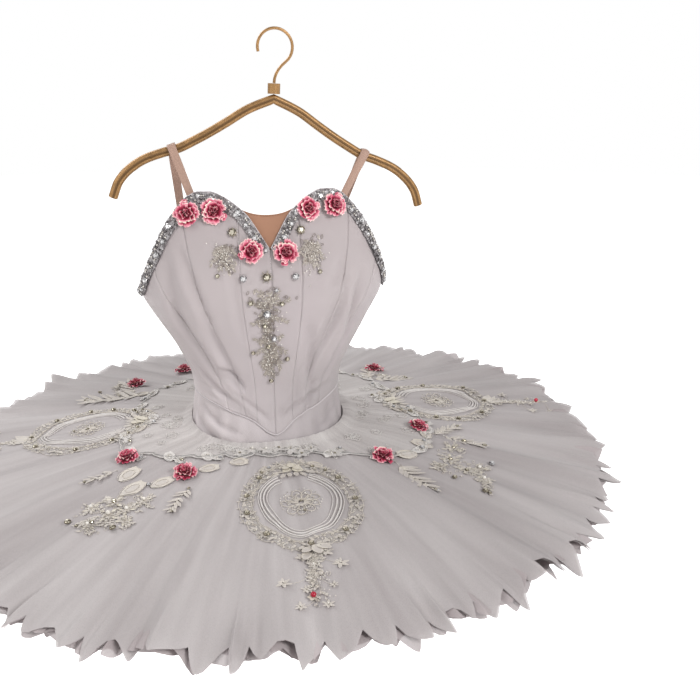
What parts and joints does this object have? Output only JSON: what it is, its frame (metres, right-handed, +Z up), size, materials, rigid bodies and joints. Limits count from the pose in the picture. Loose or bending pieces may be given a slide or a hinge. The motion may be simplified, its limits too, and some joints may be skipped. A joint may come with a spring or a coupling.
{
  "type": "ballet tutu on a hanger",
  "caption": "Pancake tutu on a gold hanger: boned ivory satin bodice with a sweetheart neckline and ribbon straps, layered net skirt with pointed edge, lace medallions and cloth roses.",
  "frame": {"origin": "inside top of the hanger's hook, where a rail bears on it", "axes": "+Z up, -Y towards the garment's front, +X towards the wearer's left"},
  "size_m": [0.936, 0.936, 0.7285],
  "materials": {
    "ivory_satin": "matt duchesse satin",
    "white_net": "stiff fine net",
    "white_lace": "corded lace",
    "cream_lace": "corded lace applique",
    "silver_trim": "stone-set braid",
    "nude_mesh": "skin-coloured mesh",
    "pink_ribbon": "satin ribbon",
    "rose_pink": "folded cloth",
    "white_knit": "stretch knit",
    "gold_metal": "satin gold finish"
  },
  "bodies": {
    "root": {"basque": "ivory_satin", "bodice_back_left": "ivory_satin", "bodice_back_right": "ivory_satin", "bodice_centre_front_left": "ivory_satin", "bodice_centre_front_right": "ivory_satin", "bodice_motif_centre": "cream_lace", "bodice_motif_left": "cream_lace", "bodice_motif_right": "cream_lace", "bodice_princess_left": "ivory_satin", "bodice_princess_right": "ivory_satin", "bodice_side_front_left": "ivory_satin", "bodice_side_front_right": "ivory_satin", "bodice_side_left": "ivory_satin", "bodice_side_right": "ivory_satin", "edge_trim_left": "silver_trim", "edge_trim_right": "silver_trim", "hanger_arms": "gold_metal", "hanger_hook": "gold_metal", "hanger_neck": "gold_metal", "hip_overlay": "white_lace", "knickers_back": "white_knit", "knickers_front": "white_knit", "medallion_front_oval": "cream_lace", "medallion_front_ring": "cream_lace", "medallion_front_rosette": "cream_lace", "medallion_front_tail": "cream_lace", "medallion_left_oval": "cream_lace", "medallion_left_ring": "cream_lace", "medallion_left_rosette": "cream_lace", "medallion_left_tail": "cream_lace", "medallion_right_oval": "cream_lace", "medallion_right_ring": "cream_lace", "medallion_right_rosette": "cream_lace", "medallion_right_tail": "cream_lace", "neckline_insert": "nude_mesh", "net_lower": "white_net", "net_middle": "white_net", "net_top": "white_net", "rose_bodice_1": "rose_pink", "rose_bodice_2": "rose_pink", "rose_bodice_3": "rose_pink", "rose_bodice_4": "rose_pink", "rose_bodice_5": "rose_pink", "rose_bodice_6": "rose_pink", "rose_skirt_1": "rose_pink", "rose_skirt_2": "rose_pink", "rose_skirt_3": "rose_pink", "rose_skirt_4": "rose_pink", "rose_skirt_5": "rose_pink", "rose_skirt_6": "rose_pink", "rose_skirt_7": "rose_pink", "rose_skirt_8": "rose_pink", "spray_back_left": "cream_lace", "spray_back_right": "cream_lace", "spray_front_left": "cream_lace", "spray_front_right": "cream_lace", "strap_left": "pink_ribbon", "strap_right": "pink_ribbon"}
  },
  "joints": []
}
